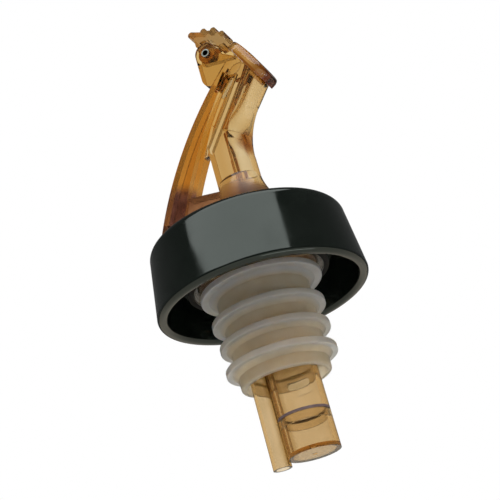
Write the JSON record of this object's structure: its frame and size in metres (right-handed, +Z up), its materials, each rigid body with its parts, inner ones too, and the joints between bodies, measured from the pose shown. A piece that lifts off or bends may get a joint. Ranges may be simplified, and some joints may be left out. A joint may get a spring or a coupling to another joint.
{
  "type": "liquor pourer",
  "caption": "Bottle pourer with an amber bent spout, a hinged flap, a vent strut, a black skirt, a ringed soft stopper and a clear measuring tail with a ball and a breather tube.",
  "frame": {"origin": "on the stopper's axis, midway between the two lower sealing rings that grip the bottle's neck", "axes": "+Z up along the stopper's axis to the spout, +X to the side that pours, -Z into the bottle"},
  "size_m": [0.0434, 0.0434, 0.0986],
  "materials": {
    "amber": "clear, gloss",
    "pale_amber": "clear, gloss",
    "black": "gloss",
    "milky": "satin, milky",
    "dark_ring": "matt",
    "steel": "polished"
  },
  "bodies": {
    "pourer": {"spout": "amber", "hinge_pin": "steel", "collar": "black", "stopper": "milky", "base_plug": "amber", "valve_seat": "dark_ring", "measuring_tube": "pale_amber", "seal_ring": "dark_ring", "end_cap": "pale_amber", "breather_tube": "pale_amber"},
    "lid": {"flap": "amber"},
    "ball": {"measuring_ball": "steel"}
  },
  "joints": [
    {"name": "flap_hinge", "type": "hinge", "parent": "pourer", "child": "lid", "pos_m": [0.0032, 0, 0.06979], "axis": [0, -1, 0], "range_deg": [0, 65]},
    {"name": "ball_slide", "type": "slide", "parent": "pourer", "child": "ball", "axis": [0, 0, 1], "range_m": [-0.025, 0]}
  ]
}
